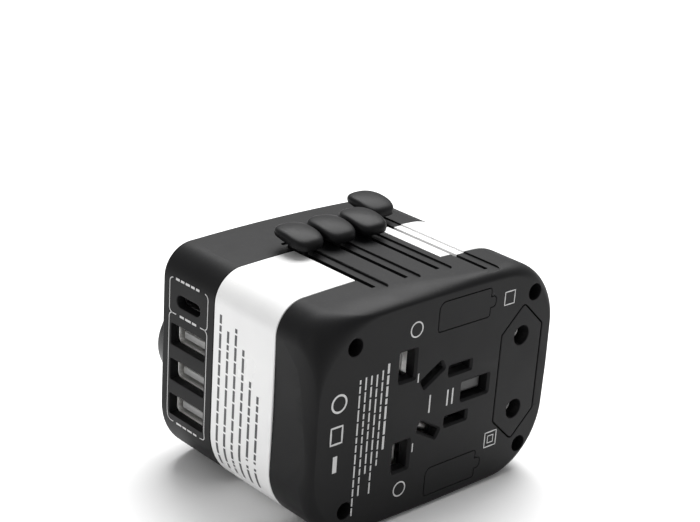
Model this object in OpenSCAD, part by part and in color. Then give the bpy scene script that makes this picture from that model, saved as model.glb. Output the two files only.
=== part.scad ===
// Universal travel adapter: four sets of sliding mains pins, a universal
// socket behind a raised oval plate, three USB-A ports and one USB-C port.
// Frame: +X out of the plug face, +Z out of the slider face, the USB side is -Y.
// The origin is the middle of the underside, and the unit is the millimetre.

/* [Body] */
// Depth of the case, from the back wall to the plug face
body_d = 54; // [54:1:58]
// Width of the case, from the USB side to the far side
body_w = 74; // [74:1:78]
// Height of the case, without the thumb knobs
body_h = 54; // [54:1:56]
// Wall thickness of the shells
wall = 2.2; // [2:0.1:2.4]
// Corner radius beside the USB ports, on the slider face
r_usb_top = 7; // [6:0.5:8]
// Radius of the other three long corners
r_corner = 15; // [14:0.5:16]
// Width of the chamfer around the plug face and the back face
edge = 1.6; // [1.2:0.2:2]
// Distance from the plug face back to the band's front seam
front_seam = 13.7; // [13:0.1:14]
// Distance from the plug face back to the band's rear seam
rear_seam = 34.8; // [34:0.1:35]

/* [Sockets] */
// Height of the raised oval plate on the back face
boss_h = 6; // [5:0.5:6]
// Length of the raised oval plate
boss_l = 70; // [68:1:70]
// Width of the raised oval plate
boss_w = 38.6; // [38:0.2:39]

/* [Pins] */
// Travel of the UK pins
uk_travel = 21.2; // [20:0.1:21.2]
// Travel of the Australian pins
au_travel = 20.5; // [19:0.5:20.5]
// Travel of the American pins
us_travel = 21; // [19:0.5:21]
// Travel of the European pins
eu_travel = 35; // [34:0.5:35]
// Travel of the European pin block
eu_block_travel = 14.5; // [14:0.5:14.5]
// Depth of the flat pins' tips behind the plug face at rest
flat_tip_recess = 3.5; // [3.3:0.1:3.6]
// Depth of the UK earth pin's tip and the round pins' tips
tip_recess = 2; // [1.8:0.1:2.2]

/* [Ports] */
// Distance between neighbouring ports
port_pitch = 8.85; // [8.8:0.05:8.9]
// Height of the USB-C port's centre above the underside
port_top = 42.6; // [42.4:0.1:42.6]

/* [Positions] */
// How far the UK pins are out, as a share of their travel
uk_out = 0; // [0:0.1:1]
// How far the Australian pins are out
au_out = 0; // [0:0.1:1]
// How far the American pins are out
us_out = 0; // [0:0.1:1]
// How far the European pins and their block are out
eu_out = 0; // [0:0.1:1]
// How far the safety shutter is open
shutter_open = 0; // [0:0.1:1]

/* [Hidden] */
$fn = 48;

x_face = 30;                        // plug face
x_back = x_face - body_d;           // back face of the case
x_boss = x_back - boss_h;           // outer face of the oval plate
x_front_seam = x_face - front_seam;
x_rear_seam = x_face - rear_seam;
zc = body_h / 2;                    // height of the plug centre
half_w = body_w / 2;
tip_x = x_face - tip_recess;
flat_tip_x = x_face - flat_tip_recess;

// Pin places on the plug face, as sideways place and half the distance apart
y_uk = -10.3;
y_au = -2.3;
y_us = 6.4;
earth_offset = 22.23;               // from the line pins to the earth pin
y_earth = y_uk + earth_offset;
y_eu = 26.1;
uk_half = 11.11;
au_half = 6.85;
us_half = 6.35;
eu_half = 9.5;
face_wall = 3;

// Pins as [width across, height], the holes they pass, and the slack of their seats
uk_pin = [4, 6.35];
uk_hole = [4.6, 7];
earth_pin = [8, 4];
earth_hole = [8.6, 4.6];
au_pin = [6.35, 1.6];
us_pin = [6.35, 1.5];
flat_hole = [6.9, 2.2];
socket_flat_hole = [6.8, 2];
au_angle = 30;
eu_pin_r = 2;
eu_hole_r = 2.4;
seat = 0.02;

// Sliders: slot places, slot ends and knob places at rest
slot_y = [-13.9, -4.2, 5.5, 15.2];
slot_w = 2;
knob_x = [-4.5, -4.5, -4.5, -12.5];
neck_l = 6;
neck_t = 1.4;
knob_r = 4.5;                       // end radius of the knob's outline
knob_base = 55.8;
knob_dome_r = 14.6;
knob_dome_z = 45.4;
slot_rear_gap = 0.8;
car_x0 = -7.5;                      // back and front of the carriages, and the roots of their pins
car_x1 = -0.5;
pin_root = -4.5;
eu_root = -14;
eu_car = [-16, -11];                // back and front of the European carriage's plate
stem_top = 51.2;
stem_floor = 43.5;
slot_front = [20.6, 20.6, 20.6, 26.3];
travel = [uk_travel, au_travel, us_travel, eu_travel];
share = [uk_out, au_out, us_out, eu_out];
shift = [for (i = [0:3]) share[i] * travel[i]]; // how far each slider stands forward
top_z = body_h;
bridge_y0 = -15.1;
bridge_y1 = 10.9;
track_l = -1;                       // track edges, measured from the slot
track_r = 3.3;
track_d = 0.5;

// Universal socket
socket_y = -4;
socket_earth_y = socket_y + earth_offset;
socket_round_r = 2.6;
lens_r = 1.5;
boss_taper = 0.6;                   // how much the raised plate narrows to its outer face
plate_t = 4.4;
lens_y = -24;
shutter_travel = 7.8;
shutter_x = x_boss + plate_t + 0.2;
shutter_t = 1.2;
leaf_t = 0.6;                       // thickness of the contact fingers
leaf_x = -22.6;                     // rear ends of the contact fingers
leaf_y = 2.9;

// Ports
usb_x = -14.2;
usb_a_w = 12.7;
usb_a_h = 5.2;
usb_c_w = 8.6;
usb_c_h = 2.9;
shell_y = -half_w + 2.4;            // front edge of the metal port shells
board_y = -22;
board_t = 1.6;
shell_t = 0.4;                      // metal of the USB-A shells
tongue_depth = 3.4;                 // from the side face to the front of the USB-A tongues
port_z = [for (i = [0:3]) port_top - i * port_pitch];

// Finger dishes: outline radius on the side face, and radius of the hollow
grip_r = 21.2;
grip_sphere = 400;

// Screws
screw_yz = [[-26.4, 46.6], [-26.4, 7.4], [29.2, 46.7], [29.2, 7.3]];
screw_head_x = 17.6;
screw_end_x = -8;
post_end_x = 16.2;
screw_r = 1.2;
screw_head_r = 1.95;
screw_recess_r = 2.05;

// Inner frame
frame_x = -10.2;
frame_y0 = -19;
frame_t = 1.6;
frame_floor = 3;
bar_t = 0.6;
bar_h = 6;
bar_y = frame_y0 + frame_t + 0.1;

// Fuse pockets
door_y0 = -1.9;
door_y1 = 14.3;
door_h = 7;
door_z = [47.5, 6.5];
door_t = 1.6;
pocket_x = 21.4;
fuse_r = 2.55;
fuse_x = 25;

module moved(i) {
    translate([shift[i], 0, 0]) children();
}

module along_x(x0, x1) {
    translate([x0, 0, 0]) rotate([90, 0, 90]) linear_extrude(x1 - x0) children();
}

module block(x0, x1, y0, y1, z0, z1) {
    translate([x0, y0, z0]) cube([x1 - x0, y1 - y0, z1 - z0]);
}

// What a rounded corner removes: sy and sz say which corner it is
module corner_cut(sy, sz, inset, r) {
    translate([sy * (half_w - inset - r), zc + sz * (zc - inset - r)]) difference() {
        translate([sy < 0 ? -r - 1 : 0, sz < 0 ? -r - 1 : 0]) square(r + 1);
        circle(r);
    }
}

// Outline of the case across its depth, drawn inside the outer faces by inset
module section(inset = 0) {
    difference() {
        translate([-half_w + inset, inset]) square([body_w - 2 * inset, body_h - 2 * inset]);
        corner_cut(-1, 1, inset, r_usb_top - inset);
        corner_cut(1, 1, inset, r_corner - inset);
        corner_cut(1, -1, inset, r_corner - inset);
        corner_cut(-1, -1, inset, r_corner - inset);
    }
}

module shell_tube(x0, x1) {
    difference() {
        along_x(x0, x1) section();
        along_x(x0 - 1, x1 + 1) section(wall);
    }
}

// End of the case from x0 to x1, narrowing by edge towards x1
module chamfered_end(x0, x1) {
    hull() {
        along_x(min(x0, x0 + sign(x1 - x0) * 0.2), max(x0, x0 + sign(x1 - x0) * 0.2)) section();
        along_x(min(x1, x1 - sign(x1 - x0) * 0.2), max(x1, x1 - sign(x1 - x0) * 0.2)) section(edge);
    }
}

module oval(l, w) {
    polygon([for (a = [0:5:355]) [l / 2 * cos(a), w / 2 * sin(a)]]);
}

module oval_x(x0, x1, inset) {
    along_x(x0, x1) translate([0, zc]) oval(boss_l - 2 * inset, boss_w - 2 * inset);
}

// Pointed outline of the European pin block
module hexagon(grow = 0) {
    h = 17.3 + grow;
    s = 11 + grow / 2;
    w = 6.7 + grow;
    polygon([[0, -h], [w, -s], [w, s], [0, h], [-w, s], [-w, -s]]);
}

module slot_cut(i, x0, x1) {
    block(x0, x1, slot_y[i] - slot_w / 2, slot_y[i] + slot_w / 2, top_z - wall - 1, top_z + 1);
}

module track_cut(i, x0, x1) {
    block(x0, x1, slot_y[i] + track_l, slot_y[i] + track_r, top_z - track_d, top_z + 1);
}

function seated(pin) = [pin[0] + seat, pin[1] + seat];
function slot_rear(i) = knob_x[i] - neck_l / 2 - slot_rear_gap;

module blade(y, z, size, angle, x0, x1) {
    translate([x0, y, z]) rotate([angle, 0, 0]) translate([0, -size[0] / 2, -size[1] / 2])
        cube([x1 - x0, size[0], size[1]]);
}

module pin_pair(y, half, size, angle, x0, x1) {
    for (s = [-1, 1]) blade(y, zc + s * half, size, s * angle, x0, x1);
}

// Every opening of the plug face, as cutters through its wall
module face_openings(x0, x1) {
    pin_pair(y_uk, uk_half, uk_hole, 0, x0, x1);
    blade(y_earth, zc, earth_hole, 0, x0, x1);
    pin_pair(y_us, us_half, flat_hole, 0, x0, x1);
    pin_pair(y_au, au_half, flat_hole, au_angle, x0, x1);
    along_x(x0, x1) translate([y_eu, zc]) hexagon(0.3);
}

module screw_post(x0, x1, r, bore) {
    for (p = screw_yz) translate([x0, p[0], p[1]]) rotate([0, 90, 0]) difference() {
        cylinder(h = x1 - x0, r = r);
        translate([0, 0, -1]) cylinder(h = x1 - x0 + 2, r = bore);
    }
}

module screw_bores(x0, x1, r) {
    for (p = screw_yz) translate([x0, p[0], p[1]]) rotate([0, 90, 0]) cylinder(h = x1 - x0, r = r);
}

module port_cut(y0, y1) {
    for (i = [1:3])
        block(usb_x - usb_a_w / 2, usb_x + usb_a_w / 2, y0, y1,
              port_z[i] - usb_a_h / 2, port_z[i] + usb_a_h / 2);
    pill_y(usb_x, port_z[0], usb_c_w, usb_c_h, y0, y1);
}

// Round-ended bar along Y, with its long side along X
module pill_y(x, z, w, h, y0, y1) {
    translate([x, y1, z]) rotate([90, 0, 0]) linear_extrude(y1 - y0) {
        square([w - h, h], center = true);
        for (s = [-1, 1]) translate([s * (w - h) / 2, 0]) circle(h / 2);
    }
}

module rear_shell() {
    color([0.09, 0.09, 0.1]) difference() {
        union() {
            difference() {
                union() {
                    along_x(x_back + 2, x_rear_seam) section();
                    chamfered_end(x_back + 2.1, x_back);
                }
                along_x(x_back + wall, x_rear_seam + 1) section(wall);
            }
            screw_post(x_back + 1, post_end_x, 2.2, screw_r + 0.02);
        }
        oval_x(x_back - 1, x_back + wall + 1, 4);
        port_cut(-half_w - 1, -half_w + wall + 1);
        for (i = [0:3]) {
            slot_cut(i, slot_rear(i), x_rear_seam + 1);
            track_cut(i, slot_rear(i) - 1.5, x_rear_seam + 1);
        }
    }
}

module middle_band() {
    color([0.93, 0.93, 0.93]) difference() {
        shell_tube(x_rear_seam, x_front_seam);
        block(x_rear_seam - 1, x_front_seam + 1, bridge_y0, slot_y[3] + slot_w / 2,
              top_z - wall - 1, top_z + 1);
        track_cut(3, x_rear_seam - 1, x_front_seam + 1);
    }
}

// Strip of the band between the bridge and the European slot
module band_strip() {
    color([0.93, 0.93, 0.93])
        block(x_rear_seam + 0.02, x_front_seam - 0.02, bridge_y1, slot_y[3] - slot_w / 2, top_z - wall, top_z);
}

module door_outline(z, grow = 0) {
    translate([door_y0 - grow, z - door_h / 2 - grow]) square([door_y1 - door_y0 + 2 * grow, door_h + 2 * grow]);
    translate([door_y1 - 1, z - 1.3 - grow]) square([2.7 + grow, 2.6 + 2 * grow]);
}

// Raised oval dish on each side of the front shell, for the fingers
module grip_cut(side) {
    centre_x = x_face - edge - 0.2 - grip_r;
    reach = sqrt(grip_sphere * grip_sphere - grip_r * grip_r);
    translate([centre_x, side * (half_w + reach), zc + 2]) sphere(grip_sphere, $fn = 96);
}

module front_shell() {
    color([0.09, 0.09, 0.1]) difference() {
        union() {
            difference() {
                union() {
                    along_x(x_front_seam, x_face - 2) section();
                    chamfered_end(x_face - 2.1, x_face);
                }
                difference() {
                    along_x(x_front_seam - 1, x_face - face_wall) section(wall);
                    for (z = door_z)
                        block(pocket_x, x_face, door_y0 - 1, door_y1 - 0.3,
                              z - door_h / 2 - 0.9, z + door_h / 2 + 0.9);
                }
            }
            block(x_rear_seam, x_front_seam + 1, bridge_y0 + 0.1, bridge_y1 - 0.1, top_z - wall, top_z);
            screw_post(x_front_seam + 0.1, x_face - 1, 3.1, screw_r + 0.1);
        }
        face_openings(x_face - face_wall - 1, x_face + 1);
        for (z = door_z) {
            block(pocket_x + 0.8, x_face - door_t - 0.1, door_y0 - 0.1, door_y1 - 1.1,
                  z - door_h / 2 - 0.1, z + door_h / 2 + 0.1);
            along_x(x_face - door_t - 0.2, x_face + 1) door_outline(z, 0.12);
        }
        screw_bores(screw_head_x, x_face + 1, screw_recess_r);
        for (i = [0:3]) {
            slot_cut(i, i == 3 ? x_front_seam - 1 : x_rear_seam - 1, slot_front[i]);
            track_cut(i, i == 3 ? x_front_seam - 1 : x_rear_seam - 1, slot_front[i] + 2.4);
        }
        for (side = [-1, 1]) grip_cut(side);
    }
}

// Apertures that take the line pins of any plug
module socket_line_holes(x0, x1) {
    for (s = [-1, 1]) {
        along_x(x0, x1) translate([socket_y, zc + s * eu_half]) circle(socket_round_r);
        blade(socket_y, zc + s * us_half, socket_flat_hole, 0, x0, x1);
        blade(socket_y, zc + s * uk_half, uk_hole, 0, x0, x1);
        blade(socket_y, zc + s * au_half, socket_flat_hole, s * au_angle, x0, x1);
    }
}

module socket_plate() {
    color([0.05, 0.05, 0.055]) difference() {
        hull() {
            oval_x(x_boss, x_boss + 0.3, boss_taper);
            oval_x(x_back - 0.3, x_back, 0);
        }
        difference() {
            oval_x(x_boss + plate_t, x_back + 1, 2.4);
            block(x_boss, x_back, 11, 12, zc - 2.2, zc + 2.2);
        }
        socket_line_holes(x_boss - 1, x_boss + 5);
        blade(socket_earth_y, zc, earth_hole, 0, x_boss - 1, x_boss + 5);
        translate([x_boss - 1, lens_y, zc]) rotate([0, 90, 0]) cylinder(h = 6, r = lens_r);
    }
}

module indicator_lens() {
    color([0.8, 0.9, 1]) {
        translate([x_boss + 0.1, lens_y, zc]) rotate([0, 90, 0]) cylinder(h = plate_t - 0.1, r = lens_r - 0.04);
        translate([x_boss + plate_t, lens_y, zc]) rotate([0, 90, 0]) cylinder(h = 0.8, r = 2.2);
    }
}

module light_pipe() {
    color([0.85, 0.9, 0.95]) translate([x_boss + plate_t + 0.9, lens_y, zc]) rotate([0, 90, 0])
        cylinder(h = 3, r = 1.2);
}

// Safety shutter: a plate behind the line holes, with two prongs beside the earth hole
module shutter() {
    translate([0, shutter_open * shutter_travel, 0]) color([0.75, 0.75, 0.72]) {
        block(shutter_x, shutter_x + shutter_t, socket_y - 3.9, socket_y + 3.9, zc - 15, zc + 15);
        for (s = [-1, 1])
            block(shutter_x, shutter_x + shutter_t, socket_y + 3.8, 19, zc + s * 3.6 - 0.8, zc + s * 3.6 + 0.8);
    }
}

// Return spring between the shutter and the rib of the socket plate
module shutter_spring() {
    turns = 7;
    length = 10.4;
    color([0.7, 0.7, 0.72]) {
        for (i = [0:turns - 1])
            translate([shutter_x + 0.6, socket_y + 4.4 + i * length / turns, zc]) rotate([90, 0, 0])
                rotate_extrude() translate([0.42, 0]) circle(0.16);
        translate([shutter_x + 1.02, socket_y + 4.2, zc]) rotate([-90, 0, 0])
            cylinder(h = length * (turns - 1) / turns + 0.3, r = 0.1);
    }
}

// Leaf contact of one socket pole: a back bar and two fingers beside the pin
module line_contact(s) {
    z = zc + s * eu_half;
    color([0.85, 0.65, 0.3]) {
        block(-15.2, -14.4, socket_y - 4.4, socket_y + 4.4, z - 5.2, z + 5.2);
        for (k = [-1, 1])
            block(leaf_x, -15.2, socket_y + k * leaf_y - leaf_t / 2, socket_y + k * leaf_y + leaf_t / 2,
                  z - 4.2, z + 4.2);
    }
}

module earth_contact() {
    color([0.85, 0.65, 0.3]) {
        block(-17.2, -16.4, socket_earth_y - 2.6, socket_earth_y + 2.6, zc - 4.4, zc + 4.4);
        for (k = [-1, 1])
            block(leaf_x, -17.2, socket_earth_y - 2.4, socket_earth_y + 2.4,
                  zc + k * leaf_y - leaf_t / 2, zc + k * leaf_y + leaf_t / 2);
    }
}

// Inner frame: a cross wall behind the sliders, a floor, and a side wall with guide ribs
module slider_frame() {
    color([0.82, 0.82, 0.8]) difference() {
        union() {
            block(frame_x - frame_t, frame_x, frame_y0, 13.6, frame_floor, 50);
            block(frame_x, 20, frame_y0, 18, frame_floor, frame_floor + frame_t);
            block(frame_x, 20, frame_y0, frame_y0 + frame_t, frame_floor, 45);
            for (y = [-16.6, 17]) block(-8, 20, y, y + 0.8, frame_floor + frame_t, 8);
        }
        block(-12, -10, -1, 8, 36, 51);
    }
}

module bus_bar(z) {
    color([0.85, 0.65, 0.3]) {
        block(frame_x + 0.1, 18, bar_y, bar_y + bar_t, z, z + bar_h);
        block(frame_x + 0.1, frame_x + 0.1 + bar_t, bar_y + bar_t, -9, z, z + bar_h);
    }
}

// Knob pocket and stem shared by three of the carriages: a block under the slot
module stem(i, z0) {
    y = slot_y[i];
    difference() {
        block(knob_x[i] - 4.2, knob_x[i] + 4.2, y - 1.7, y + 1.7, z0, stem_top);
        block(knob_x[i] - neck_l / 2 - 0.1, knob_x[i] + neck_l / 2 + 0.1,
              y - neck_t / 2 - 0.1, y + neck_t / 2 + 0.1, stem_floor, stem_top + 1);
    }
}

module uk_carriage() {
    moved(0) color([0.78, 0.2, 0.15]) difference() {
        union() {
            block(car_x0, car_x1, -15.6, -7.6, 6, 41.6);
            block(car_x0, car_x1, -15.6, 16.4, 6, 10.8);
            block(car_x0, car_x1, 11, 16.4, 6, 31);
            stem(0, 36);
        }
        pin_pair(y_uk, uk_half, seated(uk_pin), 0, pin_root, car_x1 + 1);
        blade(y_earth, zc, seated(earth_pin), 0, pin_root, car_x1 + 1);
    }
}

module uk_line_pins() {
    moved(0) color([0.86, 0.74, 0.45]) pin_pair(y_uk, uk_half, uk_pin, 0, pin_root, flat_tip_x);
}

module uk_earth_pin() {
    moved(0) color([0.1, 0.1, 0.1]) blade(y_earth, zc, earth_pin, 0, pin_root, tip_x);
}

module au_carriage() {
    moved(1) color([0.2, 0.35, 0.7]) difference() {
        union() {
            block(car_x0, car_x1, -6.4, 1.6, 16.6, 37.4);
            stem(1, 36);
        }
        pin_pair(y_au, au_half, seated(au_pin), au_angle, pin_root, car_x1 + 1);
    }
}

module au_pins() {
    moved(1) color([0.8, 0.8, 0.8]) pin_pair(y_au, au_half, au_pin, au_angle, pin_root, flat_tip_x);
}

module us_carriage() {
    moved(2) color([0.2, 0.55, 0.3]) difference() {
        union() {
            block(car_x0, car_x1, 2.6, 10.2, 18.6, 36.4);
            stem(2, 35);
        }
        block(car_x0 - 1, car_x1 + 1, 7.2, 11, zc - 2.8, zc + 2.8);
        pin_pair(y_us, us_half, seated(us_pin), 0, pin_root, car_x1 + 1);
    }
}

module us_pins() {
    moved(2) color([0.8, 0.8, 0.8]) pin_pair(y_us, us_half, us_pin, 0, pin_root, flat_tip_x);
}

module eu_carriage() {
    y0 = slot_y[3] - 0.9;
    moved(3) color([0.8, 0.6, 0.2]) difference() {
        union() {
            block(eu_car[0], eu_car[1], 22.6, 29.6, 14, 42.6);
            block(eu_car[0], eu_car[1], y0, 29.6, 39, 42.6);
            block(-16.6, -8.6, y0, y0 + 2.7, 41, stem_top);
        }
        pin_bores(eu_root, 4, eu_pin_r + seat / 2);
        block(knob_x[3] - neck_l / 2 - 0.1, knob_x[3] + neck_l / 2 + 0.1, y0 - 1, y0 + 1.7,
              stem_floor, stem_top + 1);
    }
}

// Two round bores on the European pins' axes
module pin_bores(x, length, r) {
    for (s = [-1, 1]) translate([x, y_eu, zc + s * eu_half]) rotate([0, 90, 0]) cylinder(h = length, r = r);
}

// Round European pin with a ball-shaped tip
module eu_pins() {
    moved(3) color([0.82, 0.82, 0.84]) for (s = [-1, 1]) translate([0, y_eu, zc + s * eu_half]) {
        translate([eu_root, 0, 0]) rotate([0, 90, 0]) cylinder(h = tip_x - eu_pin_r - eu_root, r = eu_pin_r);
        translate([tip_x - eu_pin_r, 0, 0]) sphere(eu_pin_r);
    }
}

module eu_block() {
    translate([eu_out * eu_block_travel, 0, 0]) color([0.09, 0.09, 0.1]) difference() {
        along_x(10, x_face) translate([y_eu, zc]) hexagon();
        pin_bores(9, 22, eu_hole_r);
    }
}

// Thumb knob: a domed paddle over a foot, on a thin neck that goes through the slot
module knob(i) {
    moved(i) color([0.1, 0.1, 0.11]) translate([knob_x[i], slot_y[i], 0]) {
        block(-neck_l / 2, neck_l / 2, -neck_t / 2, neck_t / 2, 45, 56);
        block(-neck_l / 2, neck_l / 2, -2.2, 2.2, top_z + 1.2, 57);
        intersection() {
            translate([0, 0, knob_base]) linear_extrude(5) {
                square([2, 2 * knob_r], center = true);
                for (s = [-1, 1]) translate([s, 0]) circle(knob_r);
            }
            translate([0, 0, knob_dome_z]) sphere(knob_dome_r, $fn = 64);
        }
    }
}

module uk_knob() { knob(0); }
module au_knob() { knob(1); }
module us_knob() { knob(2); }
module eu_knob() { knob(3); }

// Latch spring under a knob's neck: a short coil drawn as stacked turns
module latch_spring(i) {
    z0 = stem_floor + 0.25;
    step = 0.42;
    moved(i) color([0.7, 0.7, 0.72]) translate([knob_x[i], slot_y[i], z0]) {
        for (k = [0:2]) translate([0, 0, k * step]) rotate_extrude() translate([0.45, 0]) circle(0.2);
        translate([0.45, 0, 0]) cylinder(h = 2 * step, r = 0.12);
    }
}

module uk_latch_spring() { latch_spring(0); }
module au_latch_spring() { latch_spring(1); }
module us_latch_spring() { latch_spring(2); }
module eu_latch_spring() { latch_spring(3); }

// Fuse door with two cheeks that hold the fuse
module door(z) {
    color([0.1, 0.1, 0.11]) difference() {
        union() {
            along_x(x_face - door_t, x_face) door_outline(z, -0.03);
            block(fuse_x - 1.6, x_face - door_t + 0.1, door_y0 + 0.1, door_y1 - 1.4, z - 3.2, z + 3.2);
        }
        translate([fuse_x, door_y0 - 1, z]) rotate([-90, 0, 0]) cylinder(h = 20, r = fuse_r + 0.02);
        block(fuse_x - 4, fuse_x, door_y0 - 1, door_y1, z - 2.3, z + 2.3);
    }
}

module fuse_body(z) {
    color([0.9, 0.88, 0.84]) translate([fuse_x, door_y0 + 0.3, z]) rotate([-90, 0, 0])
        cylinder(h = door_y1 - door_y0 - 2, r = fuse_r);
}

module fuse_door() { door(door_z[0]); }
module fuse() { fuse_body(door_z[0]); }
module spare_fuse_door() { door(door_z[1]); }
module spare_fuse() { fuse_body(door_z[1]); }

module fuse_clips() {
    color([0.85, 0.65, 0.3]) for (y = [door_y0 + 0.2, door_y1 - 2.4])
        block(pocket_x + 0.8, pocket_x + 1, y, y + 1, door_z[0] - 2.4, door_z[0] + 2.4);
}

module case_screws() {
    color([0.5, 0.5, 0.52]) for (p = screw_yz) translate([0, p[0], p[1]]) rotate([0, 90, 0]) difference() {
        union() {
            translate([0, 0, screw_end_x]) cylinder(h = screw_head_x - screw_end_x + 0.1, r = screw_r);
            translate([0, 0, screw_head_x]) cylinder(h = 1.8, r = screw_head_r);
        }
        translate([0, 0, screw_head_x + 1]) cylinder(h = 2, r = 1, $fn = 6);
    }
}

module usb_board() {
    color([0.05, 0.3, 0.15]) block(-21.5, -6.5, board_y, board_y + board_t, 11, 47);
}

module usb_a_shell(i) {
    z = port_z[i];
    w = usb_a_w + 0.6;
    h = usb_a_h + 0.6;
    color([0.75, 0.75, 0.78]) difference() {
        block(usb_x - w / 2, usb_x + w / 2, shell_y, board_y, z - h / 2, z + h / 2);
        block(usb_x - w / 2 + shell_t, usb_x + w / 2 - shell_t, shell_y - 1, board_y - shell_t,
              z - h / 2 + shell_t, z + h / 2 - shell_t);
    }
}

module usb_a_tongue(i) {
    z = port_z[i];
    color([0.85, 0.85, 0.85])
        block(usb_x - 5.6, usb_x + 5.6, -half_w + tongue_depth, board_y - shell_t, z - 1.9, z - 0.06);
}

module usb_a_shell_1() { usb_a_shell(1); }
module usb_a_shell_2() { usb_a_shell(2); }
module usb_a_shell_3() { usb_a_shell(3); }
module usb_a_tongue_1() { usb_a_tongue(1); }
module usb_a_tongue_2() { usb_a_tongue(2); }
module usb_a_tongue_3() { usb_a_tongue(3); }

module usb_c_shell() {
    color([0.3, 0.3, 0.32]) difference() {
        pill_y(usb_x, port_z[0], 9.4, 3.4, shell_y, board_y);
        pill_y(usb_x, port_z[0], 8.8, 2.8, shell_y - 1, board_y - 0.4);
    }
}

module usb_c_tongue() {
    color([0.1, 0.1, 0.1]) block(usb_x - 3.4, usb_x + 3.4, shell_y + 0.8, board_y - 0.4,
                                 port_z[0] - 0.35, port_z[0] + 0.35);
}

module transformer() {
    color([0.85, 0.75, 0.25]) block(-21.4, -15.4, board_y + board_t, -14.5, 30, 42);
}

module filter_capacitor() {
    color([0.15, 0.2, 0.35]) translate([-18.4, board_y + board_t, 18]) rotate([-90, 0, 0]) cylinder(h = 6, r = 3);
}

rear_shell();
front_shell();
middle_band();
band_strip();
socket_plate();
indicator_lens();
shutter();
shutter_spring();
line_contact(1);  // line_contact_1
line_contact(-1);  // line_contact_2
earth_contact();
slider_frame();
bus_bar(34);  // bus_bar_1
bus_bar(14);  // bus_bar_2
uk_carriage();
uk_line_pins();
uk_earth_pin();
au_carriage();
au_pins();
us_carriage();
us_pins();
eu_carriage();
eu_pins();
eu_block();
uk_knob();
au_knob();
us_knob();
eu_knob();
uk_latch_spring();
au_latch_spring();
us_latch_spring();
eu_latch_spring();
fuse_door();
fuse();
spare_fuse_door();
spare_fuse();
fuse_clips();
case_screws();
usb_board();
usb_a_shell_1();
usb_a_shell_2();
usb_a_shell_3();
usb_a_tongue_1();
usb_a_tongue_2();
usb_a_tongue_3();
usb_c_shell();
usb_c_tongue();
transformer();
filter_capacitor();
light_pipe();
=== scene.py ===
# %% [markdown]
# # Universal travel adapter
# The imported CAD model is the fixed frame: it says where every part is and how it moves.
# Each visible part is then made again with its rounded edges, rims and surface, in the same place.
# Lengths in the making of shapes are in millimetres, and one factor turns them into Blender's metres.

# %% Load the frame
import bpy
import bmesh
from math import atan2, copysign, cos, hypot, pi, radians, sin, sqrt
import random
from mathutils import Matrix, Vector


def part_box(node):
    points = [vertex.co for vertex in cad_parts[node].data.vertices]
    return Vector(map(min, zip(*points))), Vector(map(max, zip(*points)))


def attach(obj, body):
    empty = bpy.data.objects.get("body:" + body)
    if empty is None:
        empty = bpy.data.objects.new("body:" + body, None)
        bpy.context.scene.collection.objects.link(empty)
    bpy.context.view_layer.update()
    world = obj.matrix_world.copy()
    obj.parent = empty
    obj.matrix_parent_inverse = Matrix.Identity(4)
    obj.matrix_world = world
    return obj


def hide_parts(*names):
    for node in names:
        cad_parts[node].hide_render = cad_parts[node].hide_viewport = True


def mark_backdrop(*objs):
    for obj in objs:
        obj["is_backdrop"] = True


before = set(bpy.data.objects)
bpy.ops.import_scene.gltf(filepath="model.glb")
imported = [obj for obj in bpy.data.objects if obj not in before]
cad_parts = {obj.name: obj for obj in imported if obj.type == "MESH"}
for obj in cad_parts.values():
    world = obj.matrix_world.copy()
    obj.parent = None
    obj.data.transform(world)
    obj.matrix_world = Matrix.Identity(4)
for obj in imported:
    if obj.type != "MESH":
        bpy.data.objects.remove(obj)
scene = bpy.context.scene
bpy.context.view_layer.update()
MM = 0.001

# %% [markdown]
# The adapter is a case of three bands: a black rear shell, a white middle band and a black front shell.
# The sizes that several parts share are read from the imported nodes, so a change in the CAD carries through.
# The rest repeats the plain numbers of the CAD source, such as the places of the slots.

# %% Shared sizes
def box_mm(node):
    lo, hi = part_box(node)
    return lo / MM, hi / MM


REAR_LO = box_mm("rear_shell")[0]
FRONT_HI = box_mm("front_shell")[1]
PLATE_LO, PLATE_HI = box_mm("socket_plate")
SKIN = 0.03                       # every outer face lies this far inside the CAD's
X_FACE = FRONT_HI.x - SKIN        # plug face
X_BACK = REAR_LO.x + SKIN         # back of the case
BAND_LO, BAND_HI = box_mm("middle_band")
X_SEAM_F, X_SEAM_R = BAND_HI.x, BAND_LO.x
HALF_W = FRONT_HI.y - SKIN
TOP = FRONT_HI.z - SKIN
ZC = FRONT_HI.z / 2
WALL = 2.2
SLOT_Y = [-13.9, -4.2, 5.5, 15.2]
SLOT_END = [20.6, 20.6, 20.6, 26.3]
BRIDGE = (-15.1, 10.9)
PORT_X = -14.2
PORT_Z = [sum(v[2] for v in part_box("usb_c_shell")) / 2 / MM]
PORT_Z += [sum(v[2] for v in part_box(f"usb_a_shell_{i}")) / 2 / MM for i in (1, 2, 3)]
SCREWS = [(-26.4, 46.6), (-26.4, 7.4), (29.2, 46.7), (29.2, 7.3)]
DOOR_Z = [sum(v[2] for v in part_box(n)) / 2 / MM for n in ("fuse_door", "spare_fuse_door")]
Y_UK, Y_AU, Y_US, Y_EARTH, Y_EU = -10.3, -2.3, 6.4, 11.93, 26.1
HALF_UK, HALF_AU, HALF_US, HALF_EU = 11.11, 6.85, 6.35, 9.5   # half the distance between two pins
AU_TURN = 30
LENS_Y = -24
print("ports at", [round(z, 2) for z in PORT_Z], "doors at", [round(z, 2) for z in DOOR_Z])

# %% [markdown]
# A closed body is a stack of rings with the same number of points, joined by quads and closed by two caps.
# An outline is a function of how far it has grown, so one outline makes a hole, its chamfered rim and its floor.
# This is quicker to control than box modelling, because each ring has a place and a size.

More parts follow.
